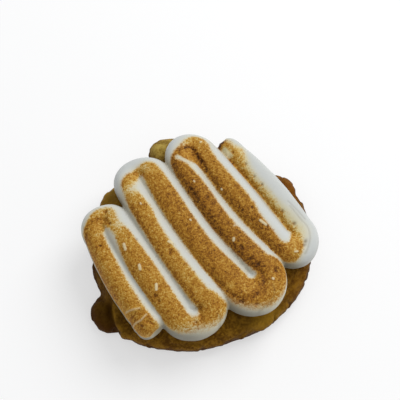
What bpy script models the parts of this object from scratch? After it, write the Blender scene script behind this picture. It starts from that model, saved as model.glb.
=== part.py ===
"""Lemon drop cookie topped with a torched meringue rope piped in a zig-zag.

Two sub-parts, both soft food resting on one another:
  cookie    a thick drop cookie with a lobed rim and a flat baked underside
  meringue  one unbroken rope, seven runs wide, pressed onto the cookie's top
All sizes are in metres, +Z is up and the cookie's underside lies at z = 0.
"""
import math

import bpy
import bmesh
from mathutils import Vector

MM = 0.001

# ---- cookie sizes ---------------------------------------------------------------
COOKIE_RADIUS = 39.2 * MM        # mean radius at the widest height
COOKIE_THICK = 14.5 * MM         # thickness in the middle
WIDEST_HEIGHT = 5.0 * MM         # the rim bulges out most at this height
BASE_TUCK = 2.0 * MM             # the underside is this much smaller all round
SINK = 1.2 * MM                  # dough below z = 0 that the flat base cuts away
CLEARANCE = 0.3 * MM             # gap kept between cookie and meringue

# Swellings of the rim: (direction in degrees, how far out, half spread in degrees).
RIM_SWELLS = (
    (107.0, 3.8 * MM, 9.5),      # the lump behind, left of the middle
    (24.0, 3.6 * MM, 11.0),      # small shoulder behind, right
    (-17.0, 2.2 * MM, 12.0),     # the right side bulges gently
    (-46.0, -0.6 * MM, 8.0),     # cut back a little at the front right corner
    (-72.0, -1.7 * MM, 12.0),    # the front right is flatter
    (-99.0, 0.8 * MM, 7.0),      # the front bulges a little
    (-120.0, 2.7 * MM, 10.0),    # the flap in front, left
    (-160.0, 0.5 * MM, 9.0),     # a little fuller above the lobe
    (149.0, 1.7 * MM, 9.0),      # a little dough shows behind, left
)

# Separate drops of dough that ran into the rim: centre x, y, z and radii x, y, z.
DOUGH_DROPS = (
    ((-30.5, -24.1, 2.4), (7.8, 7.9, 4.6)),      # the low dark lobe in front, left
    ((-11.2, 36.4, 8.2), (8.5, 7.5, 5.8)),       # the lump behind
    ((29.2, 21.3, 7.0), (7.6, 7.3, 4.8)),        # the shoulder behind, right
    ((-22.3, -28.9, 5.6), (8.1, 6.8, 4.9)),      # the flap that lies against the lobe
)

# ---- meringue sizes -------------------------------------------------------------
LEAN = math.radians(122.0)       # direction of the runs, seen from above
ROPE_HEIGHT = 10.0 * MM          # from the cookie's top to the ridge of the rope
SHOULDER = 4.8 * MM              # height at which the rope is widest
FOOT_DEPTH = 0.9 * MM            # how far the rope's foot is pressed into the former
FULLNESS = 0.90                  # below 1 the rope's back is flatter than an ellipse
RING = 26                        # points round one section

# The seven runs, in the order they were piped from the cut end to the burnt end.
# near, far = where the run meets its turns, measured along the lean (mm);
# across = distance from the middle at the near end, halfway and the far end (mm);
# half = half the rope's width at the same three places (mm).
RUNS = (
    dict(near=-20.5, far=17.7, across=(-31.8, -32.8, -31.2), half=(4.7, 4.8, 4.6)),
    dict(near=-21.6, far=19.2, across=(-22.6, -23.6, -23.2), half=(5.8, 5.9, 5.6)),
    dict(near=-24.2, far=27.9, across=(-11.3, -13.4, -12.1), half=(6.2, 5.4, 5.0)),
    dict(near=-24.0, far=27.9, across=(-0.8, -2.8, -2.2), half=(6.5, 6.4, 6.1)),
    dict(near=-24.0, far=25.8, across=(11.4, 8.0, 8.6), half=(6.2, 5.3, 4.9)),
    dict(near=-17.9, far=27.4, across=(20.6, 18.4, 17.8), half=(5.3, 6.3, 5.7)),
    dict(near=-17.9, far=23.2, across=(30.7, 29.9, 27.5), half=(5.4, 5.4, 4.4)),
)
# Ends of the rope: (distance beyond the last station in mm, share of full size).
BLUNT_END = ((1.2, 0.93), (2.2, 0.77), (2.8, 0.50))
SOFT_TIP = ((1.6, 0.88), (2.8, 0.66), (3.5, 0.34))
# Half width of the rope at the outside of each turn, in piping order (mm).
TURN_HALF = (5.1, 4.5, 4.9, 7.2, 5.9, 6.5)
# The rope squeezed inward at every turn: radii of a lump that fills its inside (mm).
TURN_FILL = (2.6, 2.6, 4.2)

# ---- mesh sizes -----------------------------------------------------------------
COOKIE_VOXEL = 0.85 * MM
ROPE_VOXEL = 0.70 * MM
COOKIE_FACES = 4000
ROPE_FACES = 8200


# ---- helpers --------------------------------------------------------------------
def clear_scene():
    """Start from an empty scene."""
    for old in list(bpy.data.objects):
        bpy.data.objects.remove(old, do_unlink=True)


def new_collection(name):
    group = bpy.data.collections.new(name)
    bpy.context.scene.collection.children.link(group)
    return group


def new_object(name, bm, group):
    """Turn a bmesh into a named object in a collection."""
    mesh = bpy.data.meshes.new(name)
    bmesh.ops.recalc_face_normals(bm, faces=bm.faces)
    bm.to_mesh(mesh)
    bm.free()
    obj = bpy.data.objects.new(name, mesh)
    group.objects.link(obj)
    return obj


def settle(obj):
    """Replace the object's mesh by what its modifiers make of it."""
    bpy.context.view_layer.update()
    graph = bpy.context.evaluated_depsgraph_get()
    made = bpy.data.meshes.new_from_object(obj.evaluated_get(graph))
    obj.modifiers.clear()
    obj.data = made
    return obj


def knead(obj, voxel, rounds, faces):
    """Melt overlapping lumps into one skin, soften it and thin out its facets."""
    melt = obj.modifiers.new("melt", 'REMESH')
    melt.mode = 'VOXEL'
    melt.voxel_size = voxel
    soften = obj.modifiers.new("soften", 'SMOOTH')
    soften.factor = 0.5
    soften.iterations = rounds
    settle(obj)
    thin = obj.modifiers.new("thin", 'DECIMATE')
    thin.decimate_type = 'COLLAPSE'
    thin.ratio = min(1.0, faces / (2.0 * len(obj.data.polygons)))
    return settle(obj)


def material(name, colour, roughness, subsurface=0.0):
    mat = bpy.data.materials.new(name)
    mat.use_nodes = True
    shader = mat.node_tree.nodes["Principled BSDF"]
    shader.inputs["Base Color"].default_value = (*colour, 1.0)
    shader.inputs["Roughness"].default_value = roughness
    shader.inputs["Subsurface Weight"].default_value = subsurface
    mat.diffuse_color = (*colour, 1.0)
    return mat


def blend(a, b, t):
    return a + (b - a) * t


def three_point(values, t):
    """Smooth value along a run from its near, halfway and far values."""
    near, middle, far = values
    bow = middle - 0.5 * (near + far)
    return blend(near, far, t) + bow * 4.0 * t * (1.0 - t)


# ---- cookie ---------------------------------------------------------------------
def rim_radius(angle):
    """Radius of the cookie at its widest, in the direction of angle (radians)."""
    radius = COOKIE_RADIUS
    for direction, out, spread in RIM_SWELLS:
        off = math.degrees(angle) - direction
        off = (off + 180.0) % 360.0 - 180.0
        radius += out * math.exp(-0.5 * (off / spread) ** 2)
    radius += 0.35 * MM * math.sin(5.0 * angle + 0.6)
    radius += 0.25 * MM * math.sin(9.0 * angle + 2.1)
    return radius


def top_height(share):
    """Height of the cookie's upper skin at a share of the rim radius."""
    share = min(abs(share), 1.0)
    crown = math.sqrt(max(0.0, 1.0 - share ** 4.0))
    return WIDEST_HEIGHT + (COOKIE_THICK - WIDEST_HEIGHT) * crown


def skin_point(angle, rise):
    """Point of the cookie's skin; rise is 90 at the crown, 0 at the rim, -90 below."""
    lift = math.radians(rise)
    if rise >= 0.0:
        share = math.cos(lift)
        tuck = 0.0
        height = top_height(share)
    else:
        share = math.cos(lift) ** 0.05
        tuck = BASE_TUCK * (1.0 - math.cos(lift))
        height = WIDEST_HEIGHT + (WIDEST_HEIGHT + SINK) * math.sin(lift)
    reach = rim_radius(angle) * share - tuck * share
    return Vector((reach * math.cos(angle), reach * math.sin(angle), height))


def cookie_body():
    """The main drop of dough: a ball pressed out into a lobed, flat-topped round."""
    bm = bmesh.new()
    ball = bmesh.ops.create_uvsphere(bm, u_segments=120, v_segments=32, radius=1.0)
    for vert in ball["verts"]:
        rise = math.degrees(math.asin(max(-1.0, min(1.0, vert.co.z))))
        vert.co = skin_point(math.atan2(vert.co.y, vert.co.x), rise)
    return bm


def add_drops(bm):
    """Squashed balls of dough at the rim."""
    for centre, radii in DOUGH_DROPS:
        ball = bmesh.ops.create_uvsphere(bm, u_segments=28, v_segments=18, radius=1.0)
        for vert in ball["verts"]:
            for axis in range(3):
                vert.co[axis] = (centre[axis] + vert.co[axis] * radii[axis]) * MM


def make_cookie(group, cutters):
    bm = cookie_body()
    add_drops(bm)
    cookie = new_object("cookie", bm, group)
    knead(cookie, COOKIE_VOXEL, 6, COOKIE_FACES)
    block = bmesh.new()
    bmesh.ops.create_cube(block, size=1.0)
    for vert in block.verts:
        vert.co = Vector((vert.co.x * 0.14, vert.co.y * 0.14, (vert.co.z - 0.5) * 0.02))
    board = new_object("baking_sheet", block, cutters)
    cut = cookie.modifiers.new("flat_base", 'BOOLEAN')
    cut.operation = 'DIFFERENCE'
    cut.solver = 'EXACT'
    cut.object = board
    return settle(cookie)


# ---- meringue -------------------------------------------------------------------
def rope_stations():
    """Centre line of the rope as (along, across, half width), all in millimetres."""
    line = []
    for number, run in enumerate(RUNS):
        rising = number % 2 == 0
        count = 16
        for k in range(count + 1):
            t = k / count if rising else 1.0 - k / count
            along = blend(run["near"], run["far"], t)
            line.append((along, three_point(run["across"], t), three_point(run["half"], t)))
        if number == len(RUNS) - 1:
            break
        after = RUNS[number + 1]
        t = 1.0 if rising else 0.0
        start = three_point(run["across"], t)
        end = three_point(after["across"], t)
        middle = 0.5 * (start + end)
        radius = 0.5 * (end - start)
        bend = "far" if rising else "near"
        side = 1.0 if rising else -1.0
        for k in range(1, 10):
            turn = math.pi * k / 10.0
            centre = blend(run[bend], after[bend], k / 10.0)
            along = centre + side * radius * math.sin(turn)
            across = middle - radius * math.cos(turn)
            ends = blend(three_point(run["half"], t), three_point(after["half"], t), k / 10.0)
            swell = math.sin(turn) ** 2
            line.append((along, across, blend(ends, TURN_HALF[number], swell)))
    return line


def on_cookie(along, across):
    """Turn distances along and across the lean into x and y."""
    x = along * math.cos(LEAN) + across * math.sin(LEAN)
    y = along * math.sin(LEAN) - across * math.cos(LEAN)
    return x * MM, y * MM


def foot_height(x, y):
    """Height of the rope's foot: it follows the cookie, then hangs over the rim."""
    reach = math.hypot(x, y)
    share = reach / rim_radius(math.atan2(y, x))
    return top_height(min(share, 0.86)) - FOOT_DEPTH


def section(centre, sideways, half, foot, crown):
    """One closed section of rope: round above, a rounded box below."""
    ring = []
    waist = foot + FOOT_DEPTH + SHOULDER
    for i in range(RING):
        turn = 2.0 * math.pi * i / RING
        c = math.cos(turn)
        s = math.sin(turn)
        if s >= 0.0:
            out = half * math.copysign(abs(c) ** FULLNESS, c)
            height = waist + (crown - waist) * s ** FULLNESS
        else:
            out = half * math.copysign(abs(c) ** 0.6, c)
            height = waist - (waist - foot) * abs(s) ** 0.6
        ring.append(Vector((centre.x + sideways.x * out, centre.y + sideways.y * out, height)))
    return ring


def end_section(place, outward, half, reach, share):
    """A smaller section beyond the end of the rope, closing it off."""
    outward = outward.normalized()
    facing = 1.0 if outward.y > 0.0 else -1.0
    sideways = Vector((outward.y, -outward.x, 0.0)) * facing
    foot = foot_height(place.x, place.y)
    crown = foot + FOOT_DEPTH + ROPE_HEIGHT
    low = foot + (1.0 - share) * SHOULDER
    top = crown - (1.0 - share) * (ROPE_HEIGHT - SHOULDER)
    return section(place + outward * reach * MM, sideways, half * share, low, top)


def fill_turns(bm):
    """A squashed ball inside every turn, where the rope was pushed together."""
    for number in range(len(RUNS) - 1):
        run, after = RUNS[number], RUNS[number + 1]
        bend, t = ("far", 1.0) if number % 2 == 0 else ("near", 0.0)
        across = 0.5 * (three_point(run["across"], t) + three_point(after["across"], t))
        x, y = on_cookie(0.5 * (run[bend] + after[bend]), across)
        height = foot_height(x, y) + FOOT_DEPTH + 2.6 * MM
        ball = bmesh.ops.create_uvsphere(bm, u_segments=20, v_segments=12, radius=1.0)
        for vert in ball["verts"]:
            for axis, middle in enumerate((x, y, height)):
                vert.co[axis] = middle + vert.co[axis] * TURN_FILL[axis] * MM


def rope_body():
    """Sweep the section along the zig-zag and close both ends."""
    stations = rope_stations()
    places = [Vector((*on_cookie(a, b), 0.0)) for a, b, _ in stations]
    halves = [half * MM for _, _, half in stations]
    bm = bmesh.new()
    rings = []
    last = len(places) - 1
    for i, place in enumerate(places):
        ahead = places[min(i + 1, last)] - places[max(i - 1, 0)]
        ahead.normalize()
        sideways = Vector((ahead.y, -ahead.x, 0.0))
        foot = foot_height(place.x, place.y)
        crown = foot + FOOT_DEPTH + ROPE_HEIGHT
        rings.append(section(place, sideways, halves[i], foot, crown))
    for reach, share in BLUNT_END:
        rings.insert(0, end_section(places[0], places[0] - places[1], halves[0], reach, share))
    for reach, share in SOFT_TIP:
        rings.append(end_section(places[last], places[last] - places[last - 1], halves[last],
                                 reach, share))
    loops = [[bm.verts.new(co) for co in ring] for ring in rings]
    for one, two in zip(loops, loops[1:]):
        for i in range(RING):
            j = (i + 1) % RING
            bm.faces.new((one[i], two[i], two[j], one[j]))
    bm.faces.new(loops[0])
    bm.faces.new(list(reversed(loops[-1])))
    fill_turns(bm)
    return bm


def make_meringue(group, cutters, cookie):
    meringue = new_object("meringue", rope_body(), group)
    knead(meringue, ROPE_VOXEL, 5, ROPE_FACES)
    former = bpy.data.objects.new("cookie_former", cookie.data.copy())
    cutters.objects.link(former)
    grow = former.modifiers.new("clearance", 'DISPLACE')
    grow.strength = CLEARANCE
    grow.mid_level = 0.0
    settle(former)
    cut = meringue.modifiers.new("pressed_on", 'BOOLEAN')
    cut.operation = 'DIFFERENCE'
    cut.solver = 'EXACT'
    cut.object = former
    return settle(meringue)


# ---- build ----------------------------------------------------------------------
clear_scene()
parts = new_collection("lemon_drop_cookie")
cutters = new_collection("cutters")

cookie = make_cookie(parts, cutters)
cookie.data.materials.clear()
cookie.data.materials.append(material("baked_dough", (0.130, 0.068, 0.012), 0.62))

meringue = make_meringue(parts, cutters, cookie)
meringue.data.materials.clear()
meringue.data.materials.append(material("toasted_meringue", (0.62, 0.50, 0.31), 0.55, 0.0))

# Put the middle of the whole piece over the origin.
corners = []
for obj in parts.objects:
    corners.extend(v.co.copy() for v in obj.data.vertices)
middle_x = 0.5 * (min(co.x for co in corners) + max(co.x for co in corners))
middle_y = 0.5 * (min(co.y for co in corners) + max(co.y for co in corners))
for obj in list(parts.objects) + list(cutters.objects):
    for vert in obj.data.vertices:
        vert.co.x -= middle_x
        vert.co.y -= middle_y
print("middle", round(middle_x / MM, 3), round(middle_y / MM, 3))

for tool in cutters.objects:
    tool.hide_render = True
    tool.display_type = 'WIRE'
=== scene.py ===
# %% [markdown]
# # A lemon drop cookie with a torched meringue top
# A thick drop cookie carries one rope of meringue, piped to and fro in seven runs
# and browned with a torch. This lesson builds both pieces as fine meshes around
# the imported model, which fixes where everything is and how large it may be.

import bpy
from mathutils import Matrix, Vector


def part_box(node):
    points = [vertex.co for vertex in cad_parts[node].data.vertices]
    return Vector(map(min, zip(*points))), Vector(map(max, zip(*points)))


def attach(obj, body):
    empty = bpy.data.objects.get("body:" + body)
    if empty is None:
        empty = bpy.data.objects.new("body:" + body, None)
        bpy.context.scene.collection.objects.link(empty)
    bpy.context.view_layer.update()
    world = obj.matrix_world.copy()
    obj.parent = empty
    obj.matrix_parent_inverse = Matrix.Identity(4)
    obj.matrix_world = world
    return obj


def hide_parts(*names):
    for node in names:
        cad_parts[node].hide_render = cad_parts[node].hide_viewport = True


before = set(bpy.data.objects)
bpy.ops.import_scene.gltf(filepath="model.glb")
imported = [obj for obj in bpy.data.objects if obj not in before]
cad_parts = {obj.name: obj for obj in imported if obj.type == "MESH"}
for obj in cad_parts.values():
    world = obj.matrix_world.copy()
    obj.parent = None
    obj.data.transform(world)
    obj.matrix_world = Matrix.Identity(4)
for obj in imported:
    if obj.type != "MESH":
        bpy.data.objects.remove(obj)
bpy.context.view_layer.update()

# %% Modules and units
import math

import bmesh
import bpy
import numpy as np
from mathutils import Vector, noise
from mathutils.bvhtree import BVHTree

MM = 0.001

# %% [markdown]
# ## Camera
# The cookie is seen from in front and well above, so the runs of the rope show
# their full length. The camera comes first, because every later choice is judged
# through it. It stands a short way off and looks at a point behind the cookie's
# middle.

# %% Camera
CAMERA_RISE = math.radians(62.0)       # how far the view looks down
CAMERA_REACH = 320.0 * MM
CAMERA_AIM = Vector((0.14 * MM, 19.69 * MM, 0.0))
CAMERA_LENS = 75.5
CAMERA_SENSOR = 36.0
CAMERA_CLIP = 0.01

view = Vector((0.0, math.cos(CAMERA_RISE), -math.sin(CAMERA_RISE)))
camera = bpy.data.objects.new("camera", bpy.data.cameras.new("camera"))
camera.data.lens = CAMERA_LENS
camera.data.sensor_width = CAMERA_SENSOR
camera.data.clip_start = CAMERA_CLIP
camera.location = CAMERA_AIM - view * CAMERA_REACH
camera.rotation_euler = view.to_track_quat('-Z', 'Y').to_euler()
bpy.context.scene.collection.objects.link(camera)
bpy.context.scene.camera = camera
print("camera at", [round(c, 4) for c in camera.location])

# %% [markdown]
# ## Two kinds of helper
# A mesh helper turns a bmesh into an object and settles its modifiers, so later
# steps can move single points. A noise helper gives every point a smooth random
# value that is the same on each run.

# %% Mesh helpers
def new_object(name, bm):
    """Turn a bmesh into an object in the scene."""
    mesh = bpy.data.meshes.new(name)
    bmesh.ops.recalc_face_normals(bm, faces=bm.faces)
    bm.to_mesh(mesh)
    bm.free()
    obj = bpy.data.objects.new(name, mesh)
    bpy.context.scene.collection.objects.link(obj)
    return obj


def settle(obj):
    """Replace the object's mesh by what its modifiers make of it."""
    bpy.context.view_layer.update()
    graph = bpy.context.evaluated_depsgraph_get()
    made = bpy.data.meshes.new_from_object(obj.evaluated_get(graph))
    obj.modifiers.clear()
    obj.data = made
    return obj


def knead(obj, voxel, rounds):
    """Melt overlapping forms into one skin and soften it."""
    melt = obj.modifiers.new("melt", 'REMESH')
    melt.mode = 'VOXEL'
    melt.voxel_size = voxel
    soften = obj.modifiers.new("soften", 'SMOOTH')
    soften.factor = 0.5
    soften.iterations = rounds
    return settle(obj)


def points_of(obj):
    """All points of a mesh as an array with one row each."""
    flat = np.empty(len(obj.data.vertices) * 3)
    obj.data.vertices.foreach_get("co", flat)
    return flat.reshape(-1, 3)


def normals_of(obj):
    """The direction the skin faces at every point."""
    flat = np.empty(len(obj.data.vertices) * 3)
    obj.data.vertex_normals.foreach_get("vector", flat)
    return flat.reshape(-1, 3)


def move_points(obj, places):
    """Put every point of a mesh at a new place."""
    obj.data.vertices.foreach_set("co", np.asarray(places).ravel())
    obj.data.update()


def paint(obj, name, values):
    """Store one number per point under a name that a material can read."""
    layer = obj.data.attributes.new(name, 'FLOAT', 'POINT')
    layer.data.foreach_set("value", np.asarray(values, dtype=np.float32))


# %% Noise and blending helpers
def bumps(places, size, seed, stretch=(1.0, 1.0, 1.0)):
    """Smooth noise from about -1 to 1; size is the width of one bump."""
    shift = Vector((seed * 7.3, seed * 3.1, seed * 5.7))
    scaled = places * (np.array(stretch) / size)
    return np.array([noise.noise(Vector(p) + shift) for p in scaled])


def blend(a, b, t):
    """a where t is 0, b where t is 1, and in between a share of each."""
    return a + (b - a) * t


def ease(low, high, values):
    """0 below low, 1 above high, and a soft step between."""
    t = np.clip((values - low) / (high - low), 0.0, 1.0)
    return t * t * (3.0 - 2.0 * t)


def hill(values, middle, spread):
    """A smooth hill, 1 at its middle."""
    return np.exp(-0.5 * ((values - middle) / spread) ** 2)


def even_out(piece, values, rounds):
    """Average a number over neighbouring points, so that its edges turn soft."""
    mesh = piece.data
    pairs = np.empty(2 * len(mesh.edges), dtype=np.int32)
    mesh.edges.foreach_get("vertices", pairs)
    one, two = pairs[0::2], pairs[1::2]
    count = len(mesh.vertices)
    known = np.bincount(one, minlength=count) + np.bincount(two, minlength=count)
    for _ in range(rounds):
        total = np.bincount(one, values[two], count) + np.bincount(two, values[one], count)
        values = 0.4 * values + 0.6 * total / known
    return values


# %% [markdown]
# ## The cookie
# Drop cookies are scooped dough that slumps in the oven: a flat baked underside,
# a rim that bulges just above it, and lobes where a bit of dough ran out. A ball
# is pressed into that shape by a function of direction and height, and squashed
# balls of dough are melted into its rim.

# %% Cookie sizes
COOKIE_RADIUS = 39.2 * MM
COOKIE_THICK = 14.5 * MM
WIDEST_HEIGHT = 5.0 * MM
BASE_TUCK = 2.0 * MM
SINK = 1.2 * MM
COOKIE_GRAIN = 0.5 * MM

# Swellings of the rim: (direction in degrees, how far out, half spread in degrees).
RIM_SWELLS = (
    (107.0, 3.8 * MM, 9.5),
    (24.0, 3.6 * MM, 11.0),
    (-17.0, 2.2 * MM, 12.0),
    (-46.0, -0.6 * MM, 8.0),
    (-72.0, -1.7 * MM, 12.0),
    (-99.0, 0.8 * MM, 7.0),
    (-120.0, 2.7 * MM, 10.0),
    (-160.0, 0.5 * MM, 9.0),
    (149.0, 1.7 * MM, 9.0),
)

# Drops of dough at the rim: centre and radii in millimetres.
DOUGH_DROPS = (
    ((-30.5, -24.1, 2.4), (7.8, 7.9, 4.6)),
    ((-11.2, 36.4, 8.2), (8.5, 7.5, 5.8)),
    ((29.2, 21.3, 7.0), (7.6, 7.3, 4.8)),
    ((-22.3, -28.9, 5.6), (8.1, 6.8, 4.9)),
)


# %% Cookie shape
def rim_radius(angle):
    """Radius of the cookie at its widest, in the direction of angle (radians)."""
    radius = COOKIE_RADIUS
    for direction, out, spread in RIM_SWELLS:
        off = math.degrees(angle) - direction
        off = (off + 180.0) % 360.0 - 180.0
        radius += out * math.exp(-0.5 * (off / spread) ** 2)
    radius += 0.35 * MM * math.sin(5.0 * angle + 0.6)
    radius += 0.25 * MM * math.sin(9.0 * angle + 2.1)
    return radius


def top_height(share):
    """Height of the cookie's upper skin at a share of the rim radius."""
    share = min(abs(share), 1.0)
    crown = math.sqrt(max(0.0, 1.0 - share ** 4.0))
    return WIDEST_HEIGHT + (COOKIE_THICK - WIDEST_HEIGHT) * crown


def skin_point(angle, rise):
    """Point of the cookie's skin; rise is 90 at the crown, 0 at the rim, -90 below."""
    lift = math.radians(rise)
    if rise >= 0.0:
        share = math.cos(lift)
        tuck = 0.0
        height = top_height(share)
    else:
        share = math.cos(lift) ** 0.05
        tuck = BASE_TUCK * (1.0 - math.cos(lift))
        height = WIDEST_HEIGHT + (WIDEST_HEIGHT + SINK) * math.sin(lift)
    reach = rim_radius(angle) * share - tuck * share
    return Vector((reach * math.cos(angle), reach * math.sin(angle), height))


def cookie_body():
    """A ball pressed into the cookie's shape, with the drops of dough beside it."""
    bm = bmesh.new()
    ball = bmesh.ops.create_uvsphere(bm, u_segments=240, v_segments=64, radius=1.0)
    for vert in ball["verts"]:
        rise = math.degrees(math.asin(max(-1.0, min(1.0, vert.co.z))))
        vert.co = skin_point(math.atan2(vert.co.y, vert.co.x), rise)
    for centre, radii in DOUGH_DROPS:
        ball = bmesh.ops.create_uvsphere(bm, u_segments=48, v_segments=32, radius=1.0)
        for vert in ball["verts"]:
            for axis in range(3):
                vert.co[axis] = (centre[axis] + vert.co[axis] * radii[axis]) * MM
    return bm


cookie = knead(new_object("drop_cookie", cookie_body()), COOKIE_GRAIN, rounds=4)
print("cookie points", len(cookie.data.vertices))

# %% [markdown]
# ## Crumb and bake
# Dough opens in crags as it spreads, mostly on its side. The crags come from noise
# folded at zero, which leaves narrow valleys. Every point also gets numbers for its
# colour: the thin lobe dried out dark, the lump at the back rose pale, and the foot
# is darker, partly as a baked foot that touched the hot sheet and partly as painted
# shade. Painted shade also darkens the sides that face left and right, the cleft
# before the lobe and the cookie's left side under the rope, and painted light
# brightens the back left and the step.

# %% Places on the cookie
spots = points_of(cookie)
facing = normals_of(cookie)


def around(middle, radii):
    """A soft ball of influence: 1 at its middle, fading to 0 past its radii."""
    off = (spots - np.array(middle) * MM) / (np.array(radii) * MM)
    return np.exp(-(off ** 2).sum(axis=1))


def beside_curve(curve, spread):
    """1 on a line drawn over the cookie (x, y in mm), fading beside it."""
    flat = spots[:, :2] / MM
    best = np.full(len(spots), 1.0e3)
    for one, two in zip(curve, curve[1:]):
        stretch = np.array(two) - one
        t = np.clip(((flat - one) @ stretch) / (stretch @ stretch), 0.0, 1.0)
        best = np.minimum(best, np.linalg.norm(flat - one - t[:, None] * stretch, axis=1))
    return hill(best, 0.0, spread)


# The dark lobe crept out from under the cookie's edge: a step and the cleft before it.
STEP = ((-29.6, -24.0), (-29.1, -28.0), (-28.2, -30.9), (-26.4, -33.6))
step = beside_curve(STEP, 0.8)
cleft = beside_curve([(x - 1.7, y - 0.3) for x, y in STEP], 0.7)
print("points on the step", int((step > 0.5).sum()), "in the cleft", int((cleft > 0.5).sum()))

# %% Cookie relief
# Crags are narrow valleys, deepest on the side. Every amount of lift is in millimetres.
HOLLOW_BEHIND = ((35.0, 25.0, 7.5), (5.0, 5.0, 5.0))
side = ease(0.25, 0.75, 1.0 - np.abs(facing[:, 2]))
folded = np.abs(bumps(spots, 9.0 * MM, 3) + 0.3 * bumps(spots, 3.0 * MM, 4))
crag = 1.0 - ease(0.0, 0.22, folded)
lift = 0.45 * bumps(spots, 6.0 * MM, 5) + 0.22 * bumps(spots, 2.4 * MM, 6)
lift += 0.10 * bumps(spots, 1.1 * MM, 7) - crag * (0.15 + 0.45 * side) - 0.20
lift -= 0.5 * around(*HOLLOW_BEHIND)
lift += 0.5 * step - 0.9 * cleft
spots += facing * (lift * MM)[:, None] * ease(0.2 * MM, 2.0 * MM, spots[:, 2])[:, None]
spots[:, 2] = np.maximum(spots[:, 2], 0.0)
move_points(cookie, spots)
print("lift in mm from", round(lift.min(), 2), "to", round(lift.max(), 2))

# %% How each point of the cookie baked, and where light and shade are painted
# Patches that baked differently, one patch of painted shade under the rope at the left and one patch
# partly of painted light: middle and radii in millimetres.
DARK_LOBE = ((-31.5, -25.0, 4.0), (7.5, 7.5, 7.0))
SHADE_UNDER_ROPE_LEFT = ((-37.0, -8.0, 6.0), (6.0, 10.0, 9.0))
PALE_LUMP = ((-12.5, 37.5, 12.0), (8.0, 5.0, 5.0))
GOLDEN_LEFT_PAINTED_LIGHT = ((-32.0, 20.0, 9.0), (8.0, 8.0, 7.0))
GOLDEN_FRONT = ((24.0, -29.0, 8.5), (9.0, 6.0, 4.0))
RUDDY_SHOULDER = ((31.5, 21.0, 8.0), (9.0, 8.0, 8.0))
RUDDY_RIGHT = ((35.0, -13.0, 7.0), (7.0, 8.0, 6.0))

# Painted shade on skin that faces left or right; the low foot is darker, partly baked, partly painted
# shade.
painted_side_shade = ease(0.62, 0.96, np.abs(facing[:, 0]))
low_down = 1.0 - ease(3.4 * MM, 7.4 * MM, spots[:, 2])
# The lobe's own dark bake, and painted shade under the rope at the left.
dark = np.maximum(around(*DARK_LOBE), around(*SHADE_UNDER_ROPE_LEFT) * 0.8)
# Golden tone of the dough, with painted light on the back left and a painted highlight along the step.
golden = np.maximum(around(*GOLDEN_LEFT_PAINTED_LIGHT), around(*GOLDEN_FRONT) * 0.55 + 0.30 * step)
ruddy = np.maximum(around(*RUDDY_SHOULDER), around(*RUDDY_RIGHT) * 0.35)
paint(cookie, "crag", crag)
# The dark foot, partly baked and partly painted shade, with painted shade on the left and right sides.
paint(cookie, "low", np.maximum(low_down, 0.85 * painted_side_shade))
# Painted shade fills the cleft; along the step the dark is taken off, painted lighter.
paint(cookie, "dark", np.maximum(dark * (1.0 - 0.9 * step), 1.1 * cleft))
paint(cookie, "pale", around(*PALE_LUMP))
paint(cookie, "golden", golden)
paint(cookie, "ruddy", ruddy)
print("cookie numbers", [layer.name for layer in cookie.data.attributes if layer.data_type == 'FLOAT'])

# %% [markdown]
# ## The rope's route
# The rope is one line: seven runs that lean to the left, joined by half turns.
# It is written as a list of runs in the order they were piped, each with its near
# and far end and with the rope's half width, and a loop walks along them.

# %% Rope sizes
LEAN = math.radians(122.0)
ROPE_HEIGHT = 10.0 * MM
SHOULDER = 4.8 * MM
FOOT_DEPTH = 0.9 * MM
FULLNESS = 0.90
FOOT_ROUNDING = 0.6
OVERHANG_FROM = 0.86
ROPE_GRAIN = 0.42 * MM
RING = 48

# Runs in millimetres: near and far end along the lean, then the place across and
# the half width at the near end, halfway and at the far end.
RUNS = (
    dict(near=-20.5, far=17.7, across=(-31.8, -32.8, -31.2), half=(4.7, 4.8, 4.6)),
    dict(near=-21.6, far=19.2, across=(-22.6, -23.6, -23.2), half=(5.8, 5.9, 5.6)),
    dict(near=-24.2, far=27.9, across=(-11.3, -13.4, -12.1), half=(6.2, 5.4, 5.0)),
    dict(near=-24.0, far=27.9, across=(-0.8, -2.8, -2.2), half=(6.5, 6.4, 6.1)),
    dict(near=-24.0, far=25.8, across=(11.4, 8.0, 8.6), half=(6.2, 5.3, 4.9)),
    dict(near=-17.9, far=27.4, across=(20.6, 18.4, 17.8), half=(5.3, 6.3, 5.7)),
    dict(near=-17.9, far=23.2, across=(30.7, 29.9, 27.5), half=(5.4, 5.4, 4.4)),
)
# Ends of the rope: millimetres beyond the last section, share of its full size.
BLUNT_END = ((1.2, 0.93), (2.2, 0.77), (2.8, 0.50))
SOFT_TIP = ((1.6, 0.88), (2.8, 0.66), (3.5, 0.34))
# Half width of the rope at the outside of every turn (mm).
TURN_HALF = (5.1, 4.5, 4.9, 7.2, 5.9, 6.5)
# The rope squeezed inward at every turn: width and height radii of a lump there (mm).
TURN_FILL = ((2.6, 4.2), (3.0, 5.6), (2.6, 4.2), (2.6, 4.2), (2.6, 4.2), (2.2, 3.8))
FILL_HEIGHT = 2.6 * MM
print("runs", len(RUNS), "turns", len(TURN_HALF))


# %% Walk along the rope
def three_point(values, t):
    """Smooth value along a run from its near, halfway and far values."""
    near, middle, far = values
    bow = middle - 0.5 * (near + far)
    return blend(near, far, t) + bow * 4.0 * t * (1.0 - t)


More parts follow.
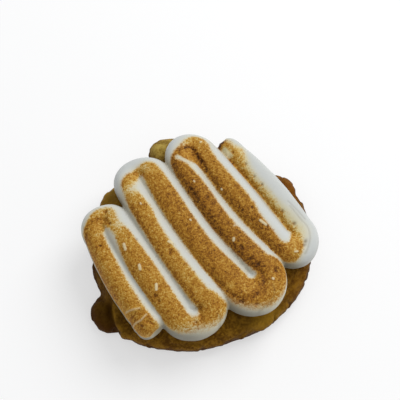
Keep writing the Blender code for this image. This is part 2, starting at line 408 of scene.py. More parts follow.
def rope_stations(per_run, per_turn):
    """Centre line as (along, across, half width) in millimetres."""
    line = []
    for number, run in enumerate(RUNS):
        rising = number % 2 == 0
        for k in range(per_run + 1):
            t = k / per_run if rising else 1.0 - k / per_run
            along = blend(run["near"], run["far"], t)
            line.append((along, three_point(run["across"], t), three_point(run["half"], t)))
        if number == len(RUNS) - 1:
            break
        after = RUNS[number + 1]
        t = 1.0 if rising else 0.0
        start = three_point(run["across"], t)
        end = three_point(after["across"], t)
        bend = "far" if rising else "near"
        side = 1.0 if rising else -1.0
        for k in range(1, per_turn):
            turn = math.pi * k / per_turn
            centre = blend(run[bend], after[bend], k / per_turn)
            along = centre + side * 0.5 * (end - start) * math.sin(turn)
            across = 0.5 * (start + end) - 0.5 * (end - start) * math.cos(turn)
            ends = blend(three_point(run["half"], t), three_point(after["half"], t),
                         k / per_turn)
            line.append((along, across, blend(ends, TURN_HALF[number],
                                              math.sin(turn) ** 2)))
    return line


def on_cookie(along, across):
    """Turn distances along and across the lean into x and y."""
    x = along * math.cos(LEAN) + across * math.sin(LEAN)
    y = along * math.sin(LEAN) - across * math.cos(LEAN)
    return x * MM, y * MM


def foot_height(x, y):
    """Height of the rope's foot: it follows the cookie, then hangs over the rim."""
    reach = math.hypot(x, y)
    share = reach / rim_radius(math.atan2(y, x))
    return top_height(min(share, OVERHANG_FROM)) - FOOT_DEPTH


stations = rope_stations(per_run=48, per_turn=30)
places = [Vector((*on_cookie(a, b), 0.0)) for a, b, _ in stations]
halves = [half * MM for _, _, half in stations]
steps = [(b - a).length for a, b in zip(places, places[1:])]
walked = np.concatenate([[0.0], np.cumsum(steps)])
print("rope length in mm", round(walked[-1] / MM, 1))


# %% [markdown]
# ## Sweep the rope
# Each section is round above and a rounded box below, because soft meringue sits
# down on its foot. The sections are joined into a tube. The tube crosses itself
# where runs touch, and a voxel remesh melts those overlaps into one skin.

# %% Sections
def section(centre, sideways, half, foot, crown):
    """One closed section of rope: round above, a rounded box below."""
    ring = []
    waist = foot + FOOT_DEPTH + SHOULDER
    for i in range(RING):
        turn = 2.0 * math.pi * i / RING
        c = math.cos(turn)
        s = math.sin(turn)
        if s >= 0.0:
            out = half * math.copysign(abs(c) ** FULLNESS, c)
            height = waist + (crown - waist) * s ** FULLNESS
        else:
            out = half * math.copysign(abs(c) ** FOOT_ROUNDING, c)
            height = waist - (waist - foot) * abs(s) ** FOOT_ROUNDING
        ring.append(Vector((centre.x + sideways.x * out, centre.y + sideways.y * out, height)))
    return ring


def end_section(place, outward, half, reach, share):
    """A smaller section beyond the end of the rope, closing it off."""
    outward = outward.normalized()
    flip = 1.0 if outward.y > 0.0 else -1.0
    sideways = Vector((outward.y, -outward.x, 0.0)) * flip
    foot = foot_height(place.x, place.y)
    crown = foot + FOOT_DEPTH + ROPE_HEIGHT
    low = foot + (1.0 - share) * SHOULDER
    top = crown - (1.0 - share) * (ROPE_HEIGHT - SHOULDER)
    return section(place + outward * reach * MM, sideways, half * share, low, top)


def fill_turns(bm):
    """A squashed ball inside every turn, where the rope was pushed together."""
    for number in range(len(RUNS) - 1):
        run, after = RUNS[number], RUNS[number + 1]
        bend, t = ("far", 1.0) if number % 2 == 0 else ("near", 0.0)
        across = 0.5 * (three_point(run["across"], t) + three_point(after["across"], t))
        x, y = on_cookie(0.5 * (run[bend] + after[bend]), across)
        height = foot_height(x, y) + FOOT_DEPTH + FILL_HEIGHT
        radii = (TURN_FILL[number][0], *TURN_FILL[number])
        ball = bmesh.ops.create_uvsphere(bm, u_segments=32, v_segments=20, radius=1.0)
        for vert in ball["verts"]:
            for axis, middle in enumerate((x, y, height)):
                vert.co[axis] = middle + vert.co[axis] * radii[axis] * MM


def rope_body():
    """Sweep the section along the zig-zag and close both ends."""
    bm = bmesh.new()
    rings = []
    last = len(places) - 1
    for i, place in enumerate(places):
        ahead = places[min(i + 1, last)] - places[max(i - 1, 0)]
        ahead.normalize()
        sideways = Vector((ahead.y, -ahead.x, 0.0))
        foot = foot_height(place.x, place.y)
        rings.append(section(place, sideways, halves[i], foot, foot + FOOT_DEPTH + ROPE_HEIGHT))
    for reach, share in BLUNT_END:
        rings.insert(0, end_section(places[0], places[0] - places[1], halves[0], reach, share))
    for reach, share in SOFT_TIP:
        rings.append(end_section(places[last], places[last] - places[last - 1], halves[last],
                                 reach, share))
    loops = [[bm.verts.new(co) for co in ring] for ring in rings]
    for one, two in zip(loops, loops[1:]):
        for i in range(RING):
            j = (i + 1) % RING
            bm.faces.new((one[i], two[i], two[j], one[j]))
    bm.faces.new(loops[0])
    bm.faces.new(list(reversed(loops[-1])))
    fill_turns(bm)
    return bm


rope = knead(new_object("meringue_rope", rope_body()), ROPE_GRAIN, rounds=6)
print("rope points", len(rope.data.vertices))

# %% [markdown]
# ## Where every point lies on the rope
# Browning, folds and flecks are easiest to place by how far along the rope and
# how far aside they are. A finely stepped copy of the centre line gives both: for
# every point of the skin the step whose rope reaches it best is looked up. The
# next best step, on another run, tells how near the neighbouring rope lies.

# %% Measure along and aside
FINE_STEP = 0.25 * MM
OTHER_RUN = 20.0 * MM                  # further along than this is another run
BATCH = 4000                           # points looked up at a time, to save memory

fine = np.arange(0.0, walked[-1], FINE_STEP)
line = np.stack([np.interp(fine, walked, [p[k] for p in places]) for k in (0, 1)], axis=1)
wide = np.interp(fine, walked, halves)
ahead = np.gradient(line, axis=0)
ahead /= np.linalg.norm(ahead, axis=1)[:, None]
right = np.stack([ahead[:, 1], -ahead[:, 0]], axis=1)

spots = points_of(rope)
facing = normals_of(rope)
nearest = np.empty(len(spots), dtype=int)
beside = np.empty(len(spots))
for start in range(0, len(spots), BATCH):
    part = spots[start:start + BATCH, None, :2] - line[None]
    reach = np.hypot(part[..., 0], part[..., 1]) - wide
    best = np.argmin(reach, axis=1)
    reach[np.abs(fine[None] - fine[best, None]) < OTHER_RUN] = OTHER_RUN
    nearest[start:start + BATCH] = best
    beside[start:start + BATCH] = reach.min(axis=1)
offset = spots[:, :2] - line[nearest]
along = (fine[nearest] + (offset * ahead[nearest]).sum(axis=1)) / MM
aside = (offset * right[nearest]).sum(axis=1) / MM
foot_line = np.array([foot_height(x, y) for x, y in line])
print("along to", round(along.max(), 1), "aside", round(aside.min(), 1), round(aside.max(), 1))


# %% Marks placed along the rope
def near_line(marks, spread):
    """1 on a line through (along, aside) pairs in millimetres, fading beside it."""
    best = np.full(len(along), 1.0e3)
    for (a0, s0), (a1, s1) in zip(marks, marks[1:]):
        da, ds = a1 - a0, s1 - s0
        t = np.clip(((along - a0) * da + (aside - s0) * ds) / (da * da + ds * ds), 0.0, 1.0)
        best = np.minimum(best, np.hypot(along - a0 - t * da, aside - s0 - t * ds))
    return hill(best, 0.0, spread)


def near_spot(place, length, width):
    """1 at a spot on the rope, fading over its length and width."""
    off = ((along - place[0]) / length) ** 2 + ((aside - place[1]) / width) ** 2
    return np.exp(-0.5 * off)


def gather(parts):
    """The strongest of several marks at every point."""
    return np.max(np.array(parts), axis=0)


# %% [markdown]
# ## The torch's path
# The torch passed over the crown of the rope, so the browned band lies on top and
# leaves the flanks white. Rows give the band: distance along the rope from its cut
# end, its left and right edge beside the rope's middle line, and how brown it is.
# Places are given to the nearest half millimetre, with a row only where
# the band turns or widens. Patches, notches and scorched lines are laid over it.

# %% Browned band
BAND = (
    (-4.0, -6.0, 2.0, 0.40), (0.0, -6.0, 1.5, 0.45), (8.0, -5.5, 1.5, 0.40), (24.0, -5.5, 2.0, 0.40),
    (34.0, -5.0, 2.0, 0.45), (37.0, -5.0, 2.5, 0.45), (39.5, -4.0, 4.5, 0.40), (42.0, -2.5, 5.0, 0.40),
    (48.0, -2.5, 5.0, 0.35), (51.5, -1.0, 4.5, 0.35), (55.0, -1.0, 3.5, 0.35), (58.0, -2.0, 3.0, 0.40),
    (66.0, -2.5, 4.5, 0.45), (74.0, -3.0, 5.5, 0.45), (94.0, -2.5, 5.5, 0.45), (98.0, -1.0, 4.5, 0.40),
    (101.0, -1.0, 4.0, 0.40), (102.0, -3.0, 5.0, 0.45), (104.0, -4.0, 5.5, 0.45),
    (107.0, -4.5, 5.5, 0.45), (108.5, -4.5, 3.5, 0.45), (112.0, -5.0, 1.5, 0.40),
    (140.0, -4.0, 1.5, 0.45), (148.0, -4.0, 2.5, 0.45), (153.0, -4.0, 2.0, 0.40),
    (158.0, -3.5, 1.0, 0.30), (162.0, -3.0, 3.5, 0.35), (164.5, -1.0, 4.0, 0.35),
    (167.0, 1.0, 4.0, 0.35), (171.0, 1.0, 4.0, 0.35), (173.0, -1.0, 4.5, 0.35),
    (175.0, -2.0, 4.0, 0.35), (181.0, -2.5, 4.5, 0.45), (191.0, -3.0, 5.0, 0.55),
    (212.0, -2.5, 5.5, 0.55), (222.0, -3.5, 6.0, 0.55), (230.0, -4.5, 5.5, 0.50),
    (239.0, -4.0, 7.0, 0.50), (246.0, -4.0, 7.0, 0.55), (248.0, -4.5, 5.0, 0.55),
    (250.0, -4.5, 2.5, 0.60), (270.0, -5.0, 2.0, 0.60), (284.0, -4.5, 2.5, 0.60),
    (293.0, -4.5, 2.0, 0.55), (299.0, -4.0, 3.5, 0.50), (301.0, -2.5, 4.5, 0.50),
    (303.5, -1.0, 5.0, 0.45), (306.0, -1.0, 6.0, 0.40), (310.0, -3.0, 6.5, 0.40),
    (314.0, -3.0, 6.5, 0.45), (316.5, -2.0, 6.0, 0.50), (322.0, -1.5, 5.0, 0.50),
    (339.0, -2.0, 5.5, 0.50), (345.0, -1.5, 5.5, 0.50), (348.0, -0.5, 5.5, 0.50),
    (356.0, 0.0, 5.0, 0.55), (361.0, 0.5, 5.5, 0.50), (363.0, 0.0, 6.0, 0.45),
    (364.5, -2.5, 5.5, 0.40), (366.5, -4.0, 3.0, 0.40), (369.0, -4.5, -0.5, 0.35),
    (372.0, -4.5, -2.0, 0.30), (378.0, -5.0, -3.0, 0.30), (398.0, -5.5, -3.0, 0.35),
    (403.5, -5.5, -2.0, 0.40), (407.5, -5.5, 0.0, 0.35), (411.0, -5.5, 1.5, 0.40),
    (414.0, -5.5, 0.0, 0.40), (418.0, -5.0, 0.0, 0.55),
)
print("rows of the band", len(BAND))

# %% Soft edges of the band
# The toast is the band itself. The halo is the cream that the heat left around it,
# widest after the last turn, where the torch was held further off.
stops, left_edge, right_edge, depth = np.array(BAND).T
soft = 0.9 + 1.5 * ease(365.0, 373.0, along)
toast = ease(-0.8, 0.8, aside - np.interp(along, stops, left_edge))
toast *= ease(-soft, soft, np.interp(along, stops, right_edge) - aside)
halo = ease(-2.4, 0.8, aside - np.interp(along, stops, left_edge))
fading = -0.6 - (2.2 - 1.2 * ease(377.0, 388.0, along)) * soft
halo *= ease(fading, 0.4, np.interp(along, stops, right_edge) - aside)
halo *= 0.45 + 0.50 * ease(364.0, 372.0, along)
brown = np.interp(along, stops, depth)
print("share of the rope that is toasted", round(float((toast > 0.5).mean()), 2))

# %% Thin patches and notches
# Thin patch: middle, half length, half width, how much white shows through.
THIN = (
    ((48.0, -0.5), 4.0, 1.5, 0.35), ((55.5, 0.5), 2.5, 2.0, 0.40), ((99.0, 1.0), 2.5, 2.0, 0.35),
    ((100.5, 4.5), 4.0, 1.5, 0.60), ((101.5, 4.0), 1.5, 1.0, 0.35), ((158.5, -1.0), 3.0, 2.0, 0.35),
    ((175.0, 1.0), 3.0, 1.5, 0.40), ((234.5, 6.0), 4.5, 1.5, 0.55), ((243.0, 7.0), 3.5, 1.0, 0.45),
    ((306.0, 0.0), 2.0, 1.0, 0.45), ((312.5, -1.5), 2.0, 1.0, 0.30), ((320.0, 1.5), 3.5, 0.5, 0.25),
    ((373.0, -0.5), 4.0, 1.5, 0.35), ((405.5, -1.0), 5.0, 1.5, 0.25),
)
# Notch: points of its line, spread, how much white shows.
NOTCHES = (
    (((37.0, -0.5), (36.0, 2.5)), 0.45, 0.5), (((158.0, 0.0), (160.0, 2.0)), 0.80, 0.6),
    (((265.5, 0.5), (265.5, 2.5)), 0.30, 0.9),
    (((290.0, 3.0), (296.0, 1.5), (300.0, -1.0)), 0.60, 1.2),
    (((412.0, -3.0), (415.0, -3.0)), 0.80, 1.2),
)
for place, length, width, much in THIN:
    toast *= 1.0 - much * near_spot(place, length, width)
for marks, spread, much in NOTCHES:
    toast *= 1.0 - np.minimum(1.0, much * near_line(marks, spread))
print("thin patches", len(THIN), "notches", len(NOTCHES))

# %% Bare flanks
# The brown stops a few millimetres below the ridge. Only near the cut end does it
# run further down, on the left. One short bridge of brown closes the groove at the
# far end of the fifth run. Skin that faces forward and down gets painted shade.
BRIDGE = ((296.0, 4.0), (299.5, 4.0))
deep = (foot_line[nearest] + FOOT_DEPTH + ROPE_HEIGHT - spots[:, 2]) / MM
# Painted shade on the skin that faces forward and down.
outer = ease(0.25, 0.9, facing @ np.array((-0.35, -0.80, -0.48)))
flank = 1.8 * (1.0 - ease(20.0, 36.0, along)) * ease(0.0, 2.0, -aside)
toast *= 1.0 - ease(2.8, 4.0, deep - flank)
toast = np.maximum(toast, near_line(BRIDGE, 0.75))
print("deepest point below the ridge in mm", round(float(deep.max()), 1))

# %% Scorched lines
# Scorched line: points, spread, how much.
SCORCHES = (
    (((36.5, -4.5), (40.0, -3.0), (43.0, 0.0), (46.0, 2.0), (52.5, 3.0)), 0.45, 0.50),
    (((13.0, -4.5), (36.5, -4.5)), 0.45, 0.25),
    (((98.5, 4.5), (101.0, 2.0), (102.0, -1.5), (103.5, -3.0), (108.0, -4.0), (126.0, -4.0),
      (142.0, -3.5), (161.0, -3.5)), 0.60, 0.30),
    (((161.0, -3.5), (165.0, -0.5), (168.0, 2.5), (175.0, 4.0), (180.0, 4.0)), 0.45, 0.45),
    (((226.0, 5.0), (232.0, 4.0), (235.5, 3.0), (238.5, 1.0), (242.0, -1.0), (246.0, -2.5),
      (251.0, -3.5), (262.0, -4.0)), 0.75, 0.35),
    (((247.0, -2.0), (253.0, -2.5), (262.0, -3.0)), 1.00, 0.20),
    (((267.0, -4.0), (276.0, -3.5), (284.0, -2.5), (292.0, -3.0), (297.0, -3.5)), 0.90, 0.35),
    (((297.0, -3.5), (300.0, -2.5), (303.5, 0.0), (308.0, 2.0), (314.0, 3.0), (320.0, 4.0),
      (331.0, 4.0), (341.0, 3.5), (347.0, 3.0)), 0.75, 0.40),
    (((345.0, 3.0), (353.0, 2.5), (361.0, 3.0)), 1.20, 0.30),
    (((366.5, -4.0), (375.0, -4.5), (390.0, -5.0), (404.0, -4.5), (411.0, -4.5)), 0.60, 0.35),
    (((305.0, 1.5), (307.0, 2.0), (312.0, 3.0), (318.0, 3.0), (323.0, 4.0)), 0.55, 0.85),
    (((407.5, -5.0), (412.5, -4.5), (417.0, -4.0)), 0.65, 1.00),
    (((417.5, -4.0), (418.5, -1.5), (418.0, 0.0)), 0.60, 1.10),
)
scorch = gather([much * near_line(marks, spread) for marks, spread, much in SCORCHES])
print("scorched lines", len(SCORCHES))

# %% [markdown]
# ## Folds, pits and flecks
# Folds are soft valleys where the rope turns. Two ridges and the creases beside
# them cross it near its cut end. Pits are burst bubbles, and flecks are crumbs of
# dry meringue that stayed pale. Each is listed, like the band.

# %% Folds, ridges and creases
# Fold: points of its line, spread.
FOLDS = (
    (((38.5, -3.5), (43.0, 0.5), (47.0, 3.0), (53.5, 3.0)), 0.45),
    (((98.0, 5.0), (101.0, 2.0), (102.0, -1.5), (103.5, -3.0), (108.0, -4.0)), 0.45),
    (((163.5, -1.5), (167.0, 1.5), (172.0, 3.0), (178.5, 4.0)), 0.45),
    (((222.5, 5.0), (231.5, 4.0), (236.0, 2.5), (241.0, 0.0), (246.0, -3.0), (251.0, -4.0)), 0.50),
    (((301.0, -1.5), (305.0, 1.5), (312.0, 3.0), (331.0, 4.5)), 0.45),
    (((237.5, 6.0), (242.0, 4.5), (247.5, 2.5)), 0.40),
)
RIDGES = (
    ((3.0, -4.5), (2.0, -2.0), (2.5, 0.5)), ((7.5, -4.0), (6.5, -2.0), (5.5, 0.0)),
)
# Creases beside those ridges.
CREASES = (
    ((3.0, -5.0), (4.0, -2.5), (4.5, -0.5)), ((5.0, -4.5), (5.0, -2.5)),
    ((1.0, -1.0), (-1.5, 0.5)), ((1.0, -3.5), (-0.5, -3.0)),
)
# Fine lines that the nozzle drew along the outside of the near turns.
LINES = (
    ((366.5, 4.5), (368.5, 3.0), (371.0, 2.0), (376.0, 1.0), (382.0, 0.5)),
    ((375.5, 2.5), (379.0, 2.0), (384.0, 1.0)),
    ((101.5, 5.5), (103.0, 5.0), (104.0, 4.5), (105.0, 3.0)),
    ((236.5, 7.0), (237.0, 6.5), (239.0, 6.0), (241.0, 4.5), (242.0, 2.5)),
)
folds = gather([near_line(marks, spread) for marks, spread in FOLDS])
ridges = gather([near_line(marks, 0.45) for marks in RIDGES])
creases = gather([near_line(marks, 0.40) for marks in CREASES])
lines = gather([near_line(marks, 0.20) for marks in LINES])
print("folds", len(FOLDS), "ridges", len(RIDGES), "creases", len(CREASES), "lines", len(LINES))

# %% Pits and flecks
# Pit: distance along, aside, size.
PITS = (
    (32.5, -0.5, 0.35), (47.5, -0.5, 0.45), (53.0, 2.5, 0.35), (63.5, -2.5, 0.30),
    (84.5, 3.0, 0.45), (86.5, 3.0, 0.30), (99.5, 1.0, 0.40), (130.0, -0.5, 0.50),
    (206.5, -2.0, 0.30), (222.0, 3.5, 0.45), (233.5, 4.5, 0.35), (236.5, 5.0, 0.30),
    (246.0, 2.5, 0.45), (250.0, -2.0, 0.40), (253.0, -2.5, 0.30), (258.0, -2.0, 0.45),
    (280.0, 0.5, 0.35), (283.5, -3.0, 0.40), (286.0, -3.0, 0.35), (317.0, 3.5, 0.35),
    (319.0, 3.5, 0.40), (345.0, 0.0, 0.30), (348.5, 3.0, 0.35), (353.5, 0.5, 0.30),
    (367.5, 2.0, 0.40), (368.5, 1.5, 0.40), (376.0, -2.0, 0.45), (382.0, -3.0, 0.45),
    (394.5, -2.5, 0.30), (399.0, -2.5, 0.30), (405.0, -1.5, 0.40), (412.0, -1.5, 0.35),
)
# Fleck: its two ends.
FLECKS = (
    ((63.0, 2.0), (65.0, 2.5)), ((72.5, 1.5), (74.0, 2.0)), ((81.5, 0.5), (83.0, 1.5)),
    ((132.5, 1.5), (133.5, 1.0)), ((151.0, 0.0), (151.5, 0.0)), ((202.5, -1.0), (203.0, -1.0)),
    ((243.5, 1.5), (243.5, 2.0)), ((261.5, -2.5), (262.0, -2.0)), ((287.5, -0.5), (288.0, -0.5)),
    ((312.0, -1.5), (312.0, -1.0)), ((332.5, 4.0), (333.0, 4.0)), ((350.5, 1.0), (353.0, 0.5)),
    ((364.5, 3.0), (365.0, 3.0)), ((412.5, -3.5), (413.5, -3.0)),
)
LONG_FLECK = 0.6                       # a fleck longer than this is also wider
pits = gather([near_spot((a, s), size, size) for a, s, size in PITS])
flecks = gather([near_line(marks, 0.42 if math.dist(*marks) > LONG_FLECK else 0.28)
                 for marks in FLECKS])
print("pits", len(PITS), "flecks", len(FLECKS))

# %% Rope relief
# Every amount of lift is in millimetres. A shallow dent lies on the outer side of
# the last run.
DENT = (387.0, 5.6)
upper = ease(10.0 * MM, 15.0 * MM, spots[:, 2])
lift = 0.22 * bumps(spots, 13.0 * MM, 11) + 0.07 * bumps(spots, 4.0 * MM, 12)
lift += upper * (0.42 * ridges + 0.26 * flecks - 0.24 * folds - 0.30 * creases - 0.45 * pits)
lift -= 0.05 * lines + 0.5 * near_spot(DENT, 7.5, 2.6)
lift += upper * toast * 0.05 * bumps(spots, 1.2 * MM, 13)
move_points(rope, spots + facing * (lift * MM)[:, None])
print("lift in mm from", round(lift.min(), 2), "to", round(lift.max(), 2))

# %% Numbers for the meringue's finish
# Painted shade goes into the grooves between runs and, more faintly, low on the flank;
# the skin that faces front and down and the crown of the last run get painted shade too.
# Averaging over neighbouring points keeps the edges of the brown from looking cut out.
groove = 1.0 - ease(2.5, 5.5, beside / MM)
# Painted shade: strong deep in the grooves, faint low on the flanks.
painted_groove_shade = groove * ease(0.6, 3.8, deep) + (1.0 - groove) * 0.25 * ease(2.0, 6.0, deep)
paint(rope, "deep", even_out(rope, painted_groove_shade, 12))
# Painted shade on the crown of the last run, which faces away from the lamp.
last_run_painted_shade = 0.12 * ease(368.0, 380.0, along) * ease(-1.0, 2.0, aside)
paint(rope, "outer", np.maximum(outer, last_run_painted_shade))
toast = even_out(rope, toast, 5)
paint(rope, "toast", toast)
paint(rope, "halo", even_out(rope, halo, 10))
paint(rope, "brown", brown)
paint(rope, "scorch", even_out(rope, np.maximum(scorch, 0.35 * creases), 2))
paint(rope, "pit", pits * upper)
paint(rope, "line", lines)
paint(rope, "fleck", np.maximum(flecks, 0.60 * ridges) * upper)
print("rope numbers", [layer.name for layer in rope.data.attributes if layer.data_type == 'FLOAT'])

# %% [markdown]
# ## Setting the rope down
# Soft meringue rests on the dough and takes its shape, so no part of the rope may
# sink into it. Under every low point of the rope's skin a ray falls onto the cookie
# from above, and a point found inside the dough is lifted just clear.

# %% Press the rope onto the cookie
RAY_HEIGHT = 50.0 * MM
CLEAR_BY = 0.05 * MM


def press_on(upper, lower):
    """Lift points of the upper piece that would sink into the lower one."""
    tree = BVHTree.FromObject(lower, bpy.context.evaluated_depsgraph_get())
    spots = points_of(upper)
    lifted = 0
    for spot in spots:
        if spot[2] > COOKIE_THICK + MM:
            continue
        above = Vector((spot[0], spot[1], RAY_HEIGHT))
        hit = tree.ray_cast(above, Vector((0.0, 0.0, -1.0)))[0]
        if hit is not None and spot[2] < hit.z + CLEAR_BY:
            spot[2] = hit.z + CLEAR_BY
            lifted += 1
    move_points(upper, spots)
    return lifted


bpy.context.view_layer.update()
print("points lifted clear of the cookie", press_on(rope, cookie))

# %% [markdown]
# ## Shader maths in Python
# A material is a graph of nodes. Writing it as arithmetic keeps it readable: the
# class below wraps a socket, and adding or multiplying two of them adds a Math
# node. One method makes any other node.

# %% A socket that can be used in arithmetic
class Wire:
    """An output socket; expressions on it add Math nodes to its tree."""

    def __init__(self, socket):
        self.socket = socket
        self.tree = socket.id_data

    @staticmethod
    def node(tree, kind, settings=None, sockets=None, out=0):
        """Make a node, set it up, wire its inputs and return one of its outputs."""
        made = tree.nodes.new(kind)
        for key, value in (settings or {}).items():
            if key == "stops":
                ramp = made.color_ramp.elements
                while len(ramp) < len(value):
                    ramp.new(0.5)
                for stop, (place, colour) in zip(ramp, value):
                    stop.position = place
                    stop.color = (*colour, 1.0)
            else:
                setattr(made, key, value)
        for key, value in (sockets or {}).items():
            if isinstance(value, Wire):
                tree.links.new(value.socket, made.inputs[key])
            else:
                made.inputs[key].default_value = value
        return Wire(made.outputs[out])

    def math(self, operation, other):
        """A Math node on this wire and another wire or a number."""
        return Wire.node(self.tree, "ShaderNodeMath", {"operation": operation},
                         {0: self, 1: other})

    def __add__(self, other):
        return self.math('ADD', other)

    __radd__ = __add__

    def __mul__(self, other):
        return self.math('MULTIPLY', other)

    __rmul__ = __mul__

    def __sub__(self, other):
        return self.math('SUBTRACT', other)

    def __rsub__(self, other):
        return (self * -1.0) + other

    def step(self, low, high):
        """0 below low, 1 above high, soft between."""
        return Wire.node(self.tree, "ShaderNodeMapRange",
                         {"interpolation_type": 'SMOOTHSTEP'},
                         {"Value": self, "From Min": low, "From Max": high})


# %% Material helpers
def new_material(name, piece):
    """Give a piece a fresh material; returns its node tree and its main shader."""
    mat = bpy.data.materials.new(name)
    mat.use_nodes = True
    piece.data.materials.clear()
    piece.data.materials.append(mat)
    return mat.node_tree, mat.node_tree.nodes["Principled BSDF"]


def grain(tree, size, detail=2.0, roughness=0.5, seed=0.0):
    """Noise whose blotches are about size metres wide."""
    place = Wire.node(tree, "ShaderNodeTexCoord", out=3)
    shifted = Wire.node(tree, "ShaderNodeVectorMath", {"operation": 'ADD'},
                        {0: place, 1: (seed, seed * 0.7, seed * 0.4)})
    return Wire.node(tree, "ShaderNodeTexNoise", {},
                     {"Vector": shifted, "Scale": 1.0 / size, "Detail": detail,
                      "Roughness": roughness})


def reading(tree, name):
    """A number stored on the points."""
    return Wire.node(tree, "ShaderNodeAttribute", {"attribute_name": name}, out=2)


def mix(tree, factor, a, b):
    """Blend two colours."""
    return Wire.node(tree, "ShaderNodeMix", {"data_type": 'RGBA'},
                     {0: factor, 6: a, 7: b}, out=2)


# %% [markdown]
# ## The finish of the meringue
# Torched sugar browns in specks, darkest in the pits and along the scorched lines.
# Noise at three sizes is added to how brown each point should be, and a ramp turns
# that heat into straw, gold, brown and nearly black. Under it lies white meringue,
# creamy near the brown, with painted shade in the grooves, low on the flanks,
# on the skin that faces front and down and on the last run's crown.

# %% Where the meringue is browned
tree, shader = new_material("torched_meringue", rope)
speckle = grain(tree, 0.95 * MM, 3.0, 0.7) - 0.5
dust = grain(tree, 0.45 * MM, 2.0, 0.6, seed=0.2) - 0.5
cloud = grain(tree, 3.6 * MM, 2.0, 0.5, seed=0.3) - 0.5
browned = reading(tree, "toast")
creamy = reading(tree, "halo")
covered = (browned + creamy * 0.10 + speckle * 0.7 + dust * 0.5).step(0.06, 0.80)
heat = reading(tree, "brown") + 0.01 + cloud * 0.30 + speckle * 1.25 + dust * 1.10
heat = heat + reading(tree, "scorch") * (0.50 + speckle * 1.3) + reading(tree, "pit") * 0.45
heat = heat - (1.0 - browned.step(0.25, 1.0)) * 0.28
toasted = Wire.node(tree, "ShaderNodeValToRGB", {"stops": (
    (0.00, (0.70, 0.55, 0.23)),
    (0.25, (0.56, 0.325, 0.058)),
    (0.50, (0.410, 0.178, 0.016)),
    (0.75, (0.220, 0.082, 0.008)),
    (1.00, (0.075, 0.027, 0.004)))}, {"Fac": heat})
print("meringue nodes for the browning", len(tree.nodes))

# %% Colours of the meringue
WHITE = (0.59, 0.61, 0.59, 1.0)
CREAMY = (0.71, 0.63, 0.36, 1.0)
# Painted shade for the grooves and low on the flanks.
GROOVE_SHADE_PAINT = (0.40, 0.345, 0.23, 1.0)
# Painted shade for the skin that faces front and down.
FRONT_SHADE_PAINT = (0.235, 0.222, 0.175, 1.0)
BURST = (0.16, 0.09, 0.03, 1.0)
DRAWN = (0.15, 0.11, 0.05, 1.0)
CRUMB = (0.76, 0.65, 0.40, 1.0)
white = mix(tree, creamy, WHITE, CREAMY)
# Painted shade in the grooves and low on the flanks.
white = mix(tree, reading(tree, "deep") * 0.85, white, GROOVE_SHADE_PAINT)
# Painted shade on the skin that faces front and down and on the last run's crown.
white = mix(tree, reading(tree, "outer"), white, FRONT_SHADE_PAINT)
white = mix(tree, reading(tree, "pit") * 0.7, white, BURST)
colour = mix(tree, covered, white, toasted)
colour = mix(tree, reading(tree, "line") * 0.28, colour, DRAWN)
colour = mix(tree, reading(tree, "fleck").step(0.30, 0.85) * 0.9, colour, CRUMB)
tree.links.new(colour.socket, shader.inputs["Base Color"])

# %% Gloss and pores of the meringue
roughness = 0.45 + covered * 0.15
tree.links.new(roughness.socket, shader.inputs["Roughness"])
shader.inputs["Specular IOR Level"].default_value = 0.12
pores = grain(tree, 0.7 * MM, 3.0, 0.6, seed=0.8)
relief = Wire.node(tree, "ShaderNodeBump", {}, {
    "Strength": 0.5, "Distance": 0.35 * MM, "Height": pores * (0.12 + covered * 0.88)})
tree.links.new(relief.socket, shader.inputs["Normal"])
print("meringue nodes", len(tree.nodes))

# %% [markdown]
# ## The finish of the cookie
# Baked dough is mottled, and each part of it baked in its own way. The mottle mixes
# two browns, the numbers on the points lay further colours over them, some of them
# painted light and painted shade, and the dark foot, partly painted shade, comes
# last, over all of them.

# %% Colours of the cookie
CRUST_DARK = (0.105, 0.040, 0.001, 1.0)
CRUST_LIGHT = (0.250, 0.120, 0.008, 1.0)
PALE_DARK = (0.27, 0.165, 0.022, 1.0)
PALE_LIGHT = (0.50, 0.365, 0.085, 1.0)
# Golden dough, also used as painted light on the back left and along the step.
GOLDEN_AND_PAINTED_LIGHT = (0.34, 0.185, 0.012, 1.0)
RUDDY = (0.155, 0.046, 0.001, 1.0)
# The lobe's own dark bake, also used as painted shade under the rope and in the cleft.
DARK_BAKE_AND_SHADE = (0.058, 0.024, 0.0005, 1.0)
CRAG_SHADE = (0.05, 0.018, 0.001, 1.0)
# Dark foot colour: partly a baked foot, partly painted shade on the foot and the sides.
FOOT_BROWN_AND_SHADE = (0.058, 0.019, 0.001, 1.0)

# %% Cookie material
tree, shader = new_material("baked_dough", cookie)
mottle = grain(tree, 3.5 * MM, 4.0, 0.62)
fleck = grain(tree, 0.9 * MM, 3.0, 0.6, seed=0.5)
uneven = (mottle + (fleck - 0.5) * 0.9).step(0.30, 0.70)
colour = mix(tree, uneven, CRUST_DARK, CRUST_LIGHT)
pale = mix(tree, uneven, PALE_DARK, PALE_LIGHT)
# Golden dough, with painted light on the back left and along the step.
colour = mix(tree, reading(tree, "golden"), colour, GOLDEN_AND_PAINTED_LIGHT)
colour = mix(tree, reading(tree, "pale"), colour, pale)
colour = mix(tree, reading(tree, "ruddy") * 0.9, colour, RUDDY)
# Dark bake of the lobe, and painted shade under the rope and in the cleft.
colour = mix(tree, reading(tree, "dark") * 0.9, colour, DARK_BAKE_AND_SHADE)
colour = mix(tree, reading(tree, "crag") * 0.35, colour, CRAG_SHADE)
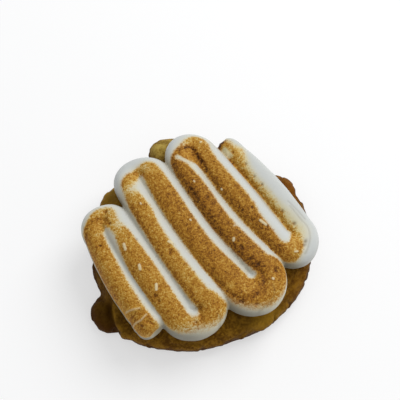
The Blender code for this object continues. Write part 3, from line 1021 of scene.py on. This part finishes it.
# The dark foot, partly baked and partly painted shade on the foot and the sides.
foot = (reading(tree, "low") + (mottle - 0.5) * 0.5).step(0.20, 1.0)
colour = mix(tree, foot * 0.85, colour, FOOT_BROWN_AND_SHADE)
tree.links.new(colour.socket, shader.inputs["Base Color"])
shader.inputs["Roughness"].default_value = 0.6
shader.inputs["Specular IOR Level"].default_value = 0.05
relief = Wire.node(tree, "ShaderNodeBump", {}, {
    "Strength": 0.6, "Distance": 0.4 * MM, "Height": mottle * 0.5 + fleck})
tree.links.new(relief.socket, shader.inputs["Normal"])
print("cookie nodes", len(tree.nodes))

# %% [markdown]
# ## Into the frame
# The imported model was centred on its own box, so both pieces move sideways by the
# same small amount until the rope's box shares its middle with the imported one.
# Each piece is then carried by the root body, and the imported cookie and meringue are hidden.

# %% Line both pieces up with the frame
low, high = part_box("meringue")
spots = points_of(rope)
middle = 0.5 * (spots.min(axis=0) + spots.max(axis=0))
shift = 0.5 * (np.array(low) + np.array(high)) - middle
shift[2] = 0.0
for piece in (cookie, rope):
    move_points(piece, points_of(piece) + shift)
    piece.data.shade_smooth()
    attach(piece, "root")
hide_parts("cookie")
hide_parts("meringue")
print("moved by mm", np.round(shift / MM, 3))

# %% [markdown]
# ## A pale table and one window
# The cookie lies on a pale table under soft light from all around, with one broad
# lamp behind it at the right, which leaves a faint shadow in front at the left.

# %% Floor
FLOOR_HALF = 1.5
FLOOR_GREY = (0.47, 0.47, 0.47, 1.0)
FLOOR_GLOW = 0.54

bm = bmesh.new()
bmesh.ops.create_grid(bm, x_segments=2, y_segments=2, size=FLOOR_HALF)
floor = new_object("floor", bm)
tree, shader = new_material("pale_floor", floor)
shader.inputs["Base Color"].default_value = FLOOR_GREY
shader.inputs["Roughness"].default_value = 0.9
shader.inputs["Specular IOR Level"].default_value = 0.0
shader.inputs["Emission Color"].default_value = (1.0, 1.0, 1.0, 1.0)
shader.inputs["Emission Strength"].default_value = FLOOR_GLOW
print("floor", floor.name)

# %% Light and world
ROOM_COLOUR = (0.97, 0.98, 1.0, 1.0)
ROOM_STRENGTH = 0.47

world = bpy.data.worlds.new("soft_room")
world.use_nodes = True
room = world.node_tree.nodes["Background"]
room.inputs["Color"].default_value = ROOM_COLOUR
room.inputs["Strength"].default_value = ROOM_STRENGTH
bpy.context.scene.world = world


def soft_light(name, place, size, power):
    """A round lamp that faces the cookie; size in metres, power in watts."""
    lamp = bpy.data.lights.new(name, 'AREA')
    lamp.shape = 'DISK'
    lamp.size = size
    lamp.energy = power
    obj = bpy.data.objects.new(name, lamp)
    obj.location = place
    obj.rotation_euler = (-Vector(place)).to_track_quat('-Z', 'Y').to_euler()
    bpy.context.scene.collection.objects.link(obj)
    return obj


window = soft_light("window", (0.50, 0.48, 0.75), size=0.80, power=7.4)
print("lamp", window.name, "at", [round(c, 2) for c in window.location])
bpy.context.scene.view_settings.view_transform = 'Standard'
